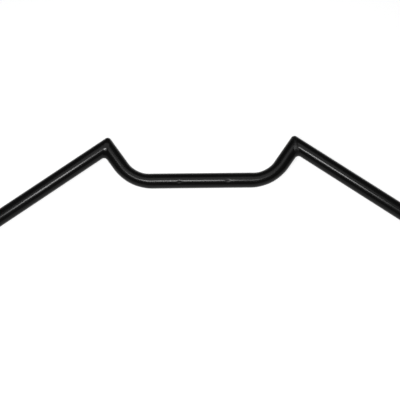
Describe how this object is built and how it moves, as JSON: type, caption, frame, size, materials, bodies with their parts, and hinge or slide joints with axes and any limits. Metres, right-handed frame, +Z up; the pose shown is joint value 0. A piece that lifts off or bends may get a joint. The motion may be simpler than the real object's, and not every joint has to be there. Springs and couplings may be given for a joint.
{
  "type": "clubman handlebar",
  "caption": "Low M-shaped motorcycle handlebar of black painted steel tube: a straight clamp section, two bent risers and two straight handles welded on at mitred corners.",
  "frame": {"origin": "on the tube's axis, at the middle of the clamp section", "axes": "+X along the clamp section to the rider's right, +Y forward, +Z up, with the bar lying on its clamp section and its two open ends, about as it is fitted on a motorcycle"},
  "size_m": [0.684, 0.1577, 0.0419],
  "materials": {
    "tube_paint": "gloss black paint on steel tube",
    "weld_paint": "the same gloss black paint over a rippled weld bead"
  },
  "bodies": {
    "root": {"centre_tube": "tube_paint", "left_handle_tube": "tube_paint", "right_handle_tube": "tube_paint", "left_corner_weld": "weld_paint", "right_corner_weld": "weld_paint"}
  },
  "joints": []
}
